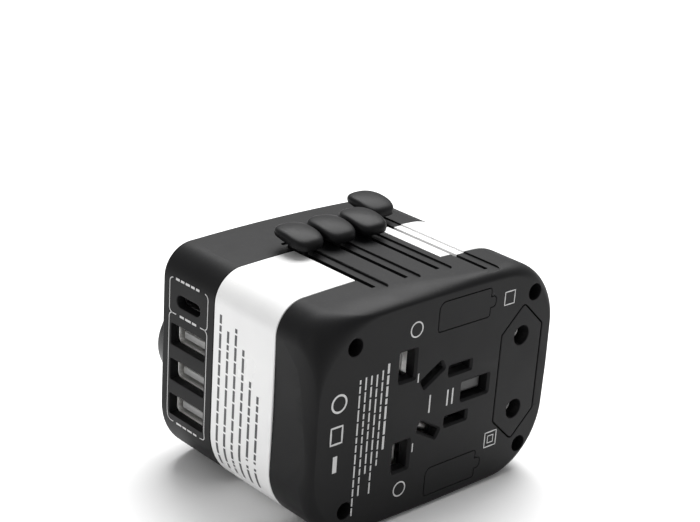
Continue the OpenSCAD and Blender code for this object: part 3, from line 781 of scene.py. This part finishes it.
def repeat(name, piece, points, material, size=1.0):
    """Copies of piece, made about the origin, at each of the points; the pattern piece is then removed."""
    mesh = bpy.data.meshes.new(name)
    mesh.from_pydata([tuple(c * MM for c in p) for p in points], [], [])
    obj = bpy.data.objects.new(name, mesh)
    scene.collection.objects.link(obj)
    modifier = obj.modifiers.new("repeat", "NODES")
    modifier.node_group = REPEAT
    sockets = {s.name: s.identifier for s in REPEAT.interface.items_tree if s.in_out == "INPUT"}
    modifier[sockets["Piece"]] = piece
    modifier[sockets["Size"]] = size
    modifier[sockets["Finish"]] = material
    settle(obj)
    bpy.data.objects.remove(piece)
    return obj


print("tree", REPEAT.name)

# %% USB-A ports
def usb_a(i):
    z = PORT_Z[i]
    lo, hi = box_mm(f"usb_a_shell_{i}")
    shell = bar(f"usb_a_shell_look_{i}", "Y", rounded(13.2, 5.7, 1.5, (PORT_X, z)),
                [(lo.y, -0.14), (lo.y + 0.04, -0.04), (lo.y + 0.14, 0), (hi.y, 0)])
    carve(shell, [bar("inside", "Y", rounded(12.3, 4.8, 1.3, (PORT_X, z)), mouth(hi.y - 0.4, lo.y, 0.16, 3))])
    fit_out(smooth(shell), "case", [f"usb_a_shell_{i}"], nickel)
    lo, hi = box_mm(f"usb_a_tongue_{i}")
    middle = (lo.z + hi.z) / 2
    tongue = bar(f"usb_a_tongue_look_{i}", "Y", rounded(11.2, hi.z - lo.z - 0.1, 0.2, (PORT_X, middle - 0.05)),
                 edged(lo.y, hi.y, 0.25))
    carve(tongue, [bar("groove", "Y", rounded(1.1, 0.3, 0.05, (PORT_X + dx, hi.z)), [(lo.y + 0.9, 0), (hi.y + 1, 0)])
                   for dx in (-3.5, -1, 1, 3.5)])
    fit_out(smooth(tongue), "case", [f"usb_a_tongue_{i}"], tongue_grey)
    strip = bar("strip", "Y", rounded(0.9, 0.14, 0.05, (0, 0), steps=2), edged(-4.2, 4.2, 0.05, 1))
    places = [(PORT_X + dx, lo.y + 5.4, hi.z - 0.1) for dx in (-3.5, -1, 1, 3.5)]
    strips = repeat(f"usb_a_contacts_{i}", smooth(strip), places, gold)
    return fit_out(strips, "case", [], gold)


for port in (1, 2, 3):
    usb_a(port)

# %% [markdown]
# The USB-C receptacle is a smaller rounded shell with a thin tongue in its middle and contacts on both faces.

# %% USB-C port
def usb_c():
    lo, hi = box_mm("usb_c_shell")
    z = PORT_Z[0]
    shell = bar("usb_c_shell_look", "Y", rounded(9.3, 3.3, 1.64, (PORT_X, z), steps=10),
                [(lo.y, -0.12), (lo.y + 0.12, 0), (hi.y, 0)])
    hollow = rounded(8.8, 2.8, 1.38, (PORT_X, z), steps=10)
    carve(shell, [bar("inside", "Y", hollow, mouth(hi.y - 0.4, lo.y, 0.12, 2))])
    fit_out(smooth(shell), "case", ["usb_c_shell"], steel)
    lo, hi = box_mm("usb_c_tongue")
    tongue = bar("usb_c_tongue_look", "Y", rounded(6.7, 0.66, 0.15, (PORT_X, z)), edged(lo.y, hi.y, 0.15))
    fit_out(smooth(tongue), "case", ["usb_c_tongue"], pin_black)
    pad = bar("pad", "Y", rounded(0.26, 0.06, 0.04, (0, 0), steps=1), edged(-2.2, 2.2, 0.02, 1))
    spots = [(PORT_X - 2.75 + 0.5 * k, lo.y + 2.7, z + s * 0.34) for k in range(12) for s in (-1, 1)]
    return fit_out(repeat("usb_c_contacts", smooth(pad), spots, gold), "case", [], gold)


usb_c()

# %% [markdown]
# ## Pins
# Each pin has a tapered tip so that it finds its socket,
# and the flat blades have a hole near the tip as the standard allows.
# Plastic sleeves cover the half nearest the plug face, so no live metal can be touched while the plug is partly in.

# %% Flat pins and sleeves
def blade(name, outline, root, tip, taper=0.5):
    return bar(name, "X", outline, [(root, 0), (tip - 1.1, 0), (tip - 0.35, -taper * 0.35),
                                    (tip - 0.08, -taper * 0.75), (tip, -taper)])


def joined(name, parts):
    bm = bmesh.new()
    for part in parts:
        bm.from_mesh(part.data)
        bpy.data.objects.remove(part)
    mesh = bpy.data.meshes.new(name)
    bm.to_mesh(mesh)
    bm.free()
    obj = bpy.data.objects.new(name, mesh)
    scene.collection.objects.link(obj)
    return obj


def pins(country, node, w, h, y, half, angle, material, hole=None, sleeve=8.5):
    lo, hi = box_mm(node)
    metal_parts, sleeves = [], []
    for s in (-1, 1):
        outline = rounded(w, h, min(w, h) * 0.12, (y, ZC + s * half), s * angle)
        pin = blade("pin", outline, lo.x, hi.x, min(w, h) * 0.28)
        if hole:
            z_hole = ZC + s * half
            carve(pin, [bar("hole", "Z", disc(hole, (hi.x - 3.3, y), 24), [(z_hole - 3, 0), (z_hole + 3, 0)])])
        metal_parts.append(smooth(pin))
        sleeves.append(smooth(bar("sleeve", "X", lambda g=0, o=outline: o(g + 0.05),
                                  [(lo.x + 5, 0), (hi.x - sleeve - 0.1, 0), (hi.x - sleeve, -0.04)])))
    fit_out(joined(f"{country}_pins_look", metal_parts), f"{country}_set", [node], material)
    return fit_out(joined(f"{country}_pin_sleeves", sleeves), f"{country}_set", [], pin_black)


pins("uk", "uk_line_pins", 4.0, 6.35, Y_UK, HALF_UK, 0, nickel)
pins("us", "us_pins", 6.35, 1.5, Y_US, HALF_US, 0, nickel, hole=1.5)
pins("au", "au_pins", 6.35, 1.6, Y_AU, HALF_AU, AU_TURN, nickel)

# %% Earth pin, round pins and their block
lo, hi = box_mm("uk_earth_pin")
earth = blade("uk_earth_pin_look", rounded(8, 4, 0.45, (Y_EARTH, ZC)), lo.x, hi.x, 1.0)
fit_out(smooth(earth), "uk_set", ["uk_earth_pin"], pin_black)


def round_pins():
    lo, hi = box_mm("eu_pins")
    tips, sleeves = [], []
    for s in (-1, 1):
        centre = (Y_EU, ZC + s * HALF_EU)
        dome = [(hi.x - 2 + 2 * sin(radians(a)), -2 + 2 * cos(radians(a)))
                for a in range(0, 90, 10)]
        tips.append(smooth(bar("tip", "X", disc(2.0, centre, 32), [(lo.x, 0)] + dome + [(hi.x, -1.95)]), 50))
        sleeve = bar("sleeve", "X", disc(2.06, centre, 32), [(lo.x + 3, 0), (hi.x - 10.1, 0), (hi.x - 10, -0.05)])
        sleeves.append(smooth(sleeve))
    fit_out(joined("eu_pins_look", tips), "eu_set", ["eu_pins"], nickel)
    return fit_out(joined("eu_pin_sleeves", sleeves), "eu_set", [], pin_black)


def pin_block():
    lo, hi = box_mm("eu_block")
    part = bar("eu_block_look", "X", soft_polygon(HEXAGON, 0.8, (Y_EU, ZC)), edged(lo.x, hi.x - SKIN, 0.25))
    carve(part, [bar("bore", "X", disc(2.4, (Y_EU, ZC + s * HALF_EU)), mouth(lo.x - 1, hi.x - SKIN, 0.3, 2))
                 for s in (-1, 1)])
    return fit_out(smooth(part), "eu_pin_block", ["eu_block"], shell_black)


round_pins()
pin_block()

# %% [markdown]
# ## Knobs, doors and screws
# A thumb knob is a domed paddle on a foot. Its nose droops towards the front, where the thumb pushes.
# The rings follow a soft rectangle,
# and the height of each point is a share of the way from the sloping underside to the dome.

# %% Thumb knobs
def soft_oval(a, b, n=64, power=3.2):
    points = []
    for i in range(n):
        t = 2 * pi * i / n
        c, s = cos(t), sin(t)
        points.append((a * copysign(abs(c) ** (2 / power), c), b * copysign(abs(s) ** (2 / power), s)))
    return points


def knob(country, x0, y0):
    lo, hi = box_mm(f"{country}_knob")

    def under(x, y):
        return 56.7 - 0.8 * x / 5.5 + 0.6 * max(0, -y / 4.5) ** 2

    def dome(x, y):
        return (hi.z - 0.04 - 1.7 * max(0, (x + 1.2) / 6.7) ** 2
                - 0.35 * max(0, (-x - 1.2) / 4.3) ** 2 - 0.5 * (y / 4.5) ** 2)

    rings = []
    for size, share in ((0.3, 0), (0.62, 0), (0.84, 0.0), (0.93, 0.03), (0.975, 0.11), (0.99, 0.24),
                        (0.998, 0.45), (0.99, 0.66), (0.965, 0.8), (0.92, 0.895), (0.85, 0.95),
                        (0.74, 0.975), (0.56, 0.99), (0.34, 0.998), (0.12, 1.0)):
        rings.append([(x0 + x, y0 + y, under(x, y) + share * (dome(x, y) - under(x, y)))
                      for x, y in soft_oval(5.5 * size, 4.5 * size)])
    paddle = ring_body(f"{country}_knob_look", rings)
    foot = bar("foot", "Z", rounded(6.2, 4.4, 0.9, (x0, y0)), [(55.95, -0.2), (56.15, 0), (57.4, 0)])
    neck = bar("neck", "Z", rounded(6.0, 1.4, 0.3, (x0, y0)), [(lo.z, -0.2), (lo.z + 0.2, 0), (56.5, 0)])
    carve(paddle, [foot, neck], "UNION")
    return fit_out(smooth(paddle, 40), f"{country}_latch", [f"{country}_knob"], knob_black)


for country, x0, y0 in zip(("uk", "au", "us", "eu"), KNOB_X, SLOT_Y):
    knob(country, x0, y0)

# %% Fuse doors
def fuse_door(node, body, z):
    main, tab = door_outline(z)
    face = X_FACE
    rings = [(28.45, 0), (face - 0.16, 0), (face - 0.05, -0.05), (face, -0.16)]
    door = bar(f"{node}_look", "X", lambda g=0: main(g - 0.02), rings)
    ear = bar("ear", "X", lambda g=0: tab(g - 0.02), rings)
    cheeks = block(23.4, 28.6, -1.8, 12.9, z - 3.2, z + 3.2)
    carve(door, [ear, cheeks], "UNION")
    seat = bar("seat", "Y", disc(2.57, (25, z), 40), [(-3, 0), (18, 0)])
    carve(door, [seat, block(20, 25, -3, 14, z - 2.3, z + 2.3)])
    return fit_out(smooth(door), body, [node], shell_black)


fuse_door("fuse_door", "fuse_tray", DOOR_Z[0])
fuse_door("spare_fuse_door", "spare_fuse_tray", DOOR_Z[1])

# %% Case screws
def case_screw():
    rings = [(-8, -1.0), (-7.2, 0)]
    x = -7.0
    while x < 14:
        rings += [(x, -0.28), (x + 0.3, 0), (x + 0.5, -0.28)]
        x += 1.0
    rings += [(17.55, -0.1), (17.6, 0.75), (18.5, 0.75), (19.0, 0.5), (19.3, 0.0), (19.38, -0.4)]
    screw = bar("screw", "X", disc(1.2, (0, 0), 24), rings)
    carve(screw, [bar("cross", "X", rounded(w, h, 0.05, (0, 0), steps=1), [(18.2, 0), (20, 0)])
                  for w, h in ((2.2, 0.5), (0.5, 2.2))])
    return smooth(screw)


screws = repeat("case_screws_look", case_screw(), [(0, y, z) for y, z in SCREWS], steel)
fit_out(screws, "case", ["case_screws"], steel)

# %% [markdown]
# ## Print
# The real case carries pad-printed words and marks. They are replaced by plain frames, rings
# and bars of the same tone.
# Each stroke is a thin ribbon that follows the face a hundredth of a millimetre above it,
# so it never fights with the surface below.

# %% Ribbons
def on_side(x, z, lift=0.012):
    if z < 15:
        y = HALF_W - 15 + sqrt(max(15 ** 2 - (15 - z) ** 2, 0))
    elif z > ZC * 2 - 7:
        y = HALF_W - 7 + sqrt(max(7 ** 2 - (z - ZC * 2 + 7) ** 2, 0))
    else:
        y = HALF_W
    return x, -y - lift, z


def on_face(y, z, lift=0.012):
    return X_FACE + lift, y, z


def ribbons(name, strokes, where, width=0.24):
    verts, faces = [], []
    for path, wide in [(s, width) if not isinstance(s[-1], float) else (s[:-1], s[-1]) for s in strokes]:
        dense = []
        for (u0, v0), (u1, v1) in zip(path, path[1:]):
            n = max(1, int(hypot(u1 - u0, v1 - v0) / 1.2))
            dense += [(u0 + (u1 - u0) * k / n, v0 + (v1 - v0) * k / n) for k in range(n)]
        dense.append(path[-1])
        closed = hypot(dense[0][0] - dense[-1][0], dense[0][1] - dense[-1][1]) < 1e-6
        first = len(verts)
        for k, (u, v) in enumerate(dense):
            before = dense[k - 1] if k else (dense[-2] if closed else dense[0])
            after = dense[k + 1] if k + 1 < len(dense) else (dense[1] if closed else dense[-1])
            du, dv = after[0] - before[0], after[1] - before[1]
            size = hypot(du, dv)
            for side in (-0.5, 0.5):
                verts.append(where(u - dv / size * wide * side, v + du / size * wide * side))
        faces += [(k, k + 1, k + 3, k + 2) for k in range(first, first + 2 * len(dense) - 2, 2)]
    obj = make(name, verts, faces)
    outward = Vector((1, 0, 0)) if where is on_face else Vector((0, -1, 0))
    bm = bmesh.new()
    bm.from_mesh(obj.data)
    bmesh.ops.reverse_faces(bm, faces=[f for f in bm.faces if f.normal.dot(outward) < 0])
    bm.to_mesh(obj.data)
    bm.free()
    return obj


def turn(u, v, r, start, sweep, n=7):
    return [(u + r * cos(radians(start + sweep * k / n)),
             v + r * sin(radians(start + sweep * k / n)))
            for k in range(n + 1)]


def words(rng, start, length, longest=4.2):
    """Lengths of bars and gaps that stand for a line of print."""
    spans, at, stop = [], start, start + length
    while at < stop - 0.8:
        size = min(rng.uniform(1.2, longest), stop - at)
        spans.append((at, at + size))
        at += size + 0.45
    return spans


print("ribbon helpers ready")

# %% Printed frames, bars and rings
def port_frames():
    left, right, low, mid, high = PORT_X - 7.1, PORT_X + 7.1, 11.5, 39.0, 47.6
    r = 1.2
    strokes = [
        turn(left + r, high - r, r, 90, 90) + turn(left + r, mid + r, r, 180, 90) + [(left + 2.6, mid)],
        turn(right - r, high - r, r, 90, -90) + turn(right - r, mid + r, r, 0, -90) + [(right - 2.6, mid)],
        turn(left + r, mid - r, r, 90, 90) + turn(left + r, low + r, r, 180, 90) + [(left + 2.0, low)],
        turn(right - r, mid - r, r, 90, -90) + turn(right - r, low + r, r, 0, -90) + [(right - 2.0, low)],
    ]
    rng = random.Random(4)
    for z, x0, x1 in ((high, left + 2.2, right - 2.2), (mid, left + 4, right - 4), (low, left + 3.2, right - 3.2)):
        strokes += [[(a, z), (b, z), 0.55] for a, b in words(rng, x0, x1 - x0, 2.2)]
    obj = ribbons("port_frames", strokes, on_side)
    return fit_out(obj, "case", [], ink_pale)


def band_print():
    rng = random.Random(11)
    tops = (45.5, 43.0, 43.5, 39.5, 33.0, 30.5)
    strokes = []
    for k, top in enumerate(tops):
        x = -2.3 + 2.75 * k
        strokes += [[(x, a), (x, b), 0.8] for a, b in words(rng, 7.5, top - 7.5)]
    obj = ribbons("band_print", strokes, on_side)
    return fit_out(obj, "case", [], ink_dark)


def square_mark(u, v, half):
    return [(u + half * a, v + half * b) for a, b in ((-1, -1), (1, -1), (1, 1), (-1, 1), (-1, -1))] + [0.3]


def face_print():
    rng = random.Random(23)
    strokes = []
    print_lines = ((41.0, 21.5), (40.0, 24.0), (39.5, 30.0), (39.5, 24.5), (39.0, 29.0), (38.5, 33.0))
    for k, (top, length) in enumerate(print_lines):
        y = -16.2 - 1.62 * k
        strokes += [[(y, a), (y, b), 0.62 if k == 0 else 0.42] for a, b in words(rng, top - length, length, 3.4)]
    strokes.append(turn(-8.6, 46.4, 1.75, 0, 360, 28))
    strokes.append(turn(-10.0, 7.6, 1.75, 0, 360, 28))
    strokes.append(turn(-30.0, 34.5, 2.0, 0, 360, 28) + [0.5])
    strokes.append([(-31.8, 25.0), (-28.6, 25.0), (-28.6, 29.0), (-31.8, 29.0), (-31.8, 25.0), 0.5])
    strokes.append([(-30.2, 18.0), (-30.2, 22.0), 1.2])
    for size in (1.9, 0.9):
        strokes.append(square_mark(19.0, 11.6, size))
    strokes.append(square_mark(20.6, 47.2, 1.6))
    strokes += [[(-6.9, z), (-6.9, z + 2.2), 0.32] for z in (33.2, 16.0)]
    strokes += [[(-2.6, 24.6), (-2.6, 29.0), 0.45], [(3.0, 24.8), (3.0, 28.8), 0.45], [(4.6, 24.8), (4.6, 28.8), 0.45]]
    obj = ribbons("face_print", strokes, on_face, 0.34)
    return fit_out(obj, "case", [], ink_pale)


port_frames()
band_print()
face_print()

# %% [markdown]
# ## Inner parts
# The parts behind the walls are right as the CAD has them, so they stay and take a finish each.

# %% Finishes for the kept parts
KEPT = {
    nylon_white: ("shutter", "slider_frame", "uk_carriage", "au_carriage", "us_carriage", "eu_carriage"),
    brass: ("line_contact_1", "line_contact_2", "earth_contact", "bus_bar_1", "bus_bar_2", "fuse_clips"),
    steel: ("shutter_spring", "uk_latch_spring", "au_latch_spring", "us_latch_spring", "eu_latch_spring"),
    ceramic_white: ("fuse", "spare_fuse"),
    board_green: ("usb_board",),
    tape_yellow: ("transformer",),
    sleeve_blue: ("filter_capacitor",),
    lens_clear: ("light_pipe",),
}
for material, names in KEPT.items():
    for name in names:
        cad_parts[name].data.materials.clear()
        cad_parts[name].data.materials.append(material)
print("kept nodes", sum(len(n) for n in KEPT.values()))

# %% [markdown]
# ## Floor, light and camera
# A pale floor, a broad light from above and behind and a weak one on the port side
# give soft shadows and let the band glow.
# The camera stands in front of the plug face, on the port side, and looks down at the adapter.

# %% Stage
def floor():
    corners = [(3000 * a, 3000 * b, -0.02) for a, b in ((-1, -1), (1, -1), (1, 1), (-1, 1))]
    obj = make("floor", corners, [(0, 1, 2, 3)])
    material, tree, principled = shader("pale_floor")
    noise = group_node(tree, GRAIN, Grain_Scale=400.0, Depth=0.02)
    tone = blend_colour(tree, (0.93, 0.93, 0.93), (0.95, 0.95, 0.95), noise.outputs["Cloud"])
    tree.links.new(tone, principled.inputs["Base Color"])
    principled.inputs["Roughness"].default_value = 0.9
    obj.data.materials.append(material)
    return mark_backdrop(obj)


def area_light(name, at, target, size, power):
    data = bpy.data.lights.new(name, "AREA")
    data.shape = "RECTANGLE"
    data.size, data.size_y = size
    data.energy = power
    obj = bpy.data.objects.new(name, data)
    scene.collection.objects.link(obj)
    obj.location = at
    obj.rotation_euler = (Vector(target) - Vector(at)).to_track_quat("-Z", "Y").to_euler()
    return obj


floor()
area_light("top_light", (-0.25, 0.30, 0.70), (0, 0, 0.03), (0.7, 0.6), 11.0)
area_light("port_side_light", (0.1, -0.9, 0.35), (0, 0, 0.03), (0.5, 0.4), 1.0)
world = bpy.data.worlds.new("studio")
world.use_nodes = True
world.node_tree.nodes["Background"].inputs["Color"].default_value = (1, 1, 1, 1)
world.node_tree.nodes["Background"].inputs["Strength"].default_value = 0.42
scene.world = world
scene.view_settings.view_transform = "Standard"

# %% Camera
camera_data = bpy.data.cameras.new("camera")
camera = bpy.data.objects.new("camera", camera_data)
scene.collection.objects.link(camera)
right = Vector((0.66962, 0.73958, 0.06812))
up = Vector((-0.32630, 0.21055, 0.92152))
back = right.cross(up)
camera_turn = Matrix((right, up, back)).transposed().to_4x4()
camera.matrix_world = Matrix.Translation(Vector((254.4, -239.35, 186.45)) * MM) @ camera_turn
camera_data.sensor_width = 36
camera_data.lens = 83.56
camera_data.shift_x = -0.0243
camera_data.shift_y = 0.05
camera_data.clip_start = 0.01
scene.camera = camera
print("camera at", [round(v, 3) for v in camera.location])
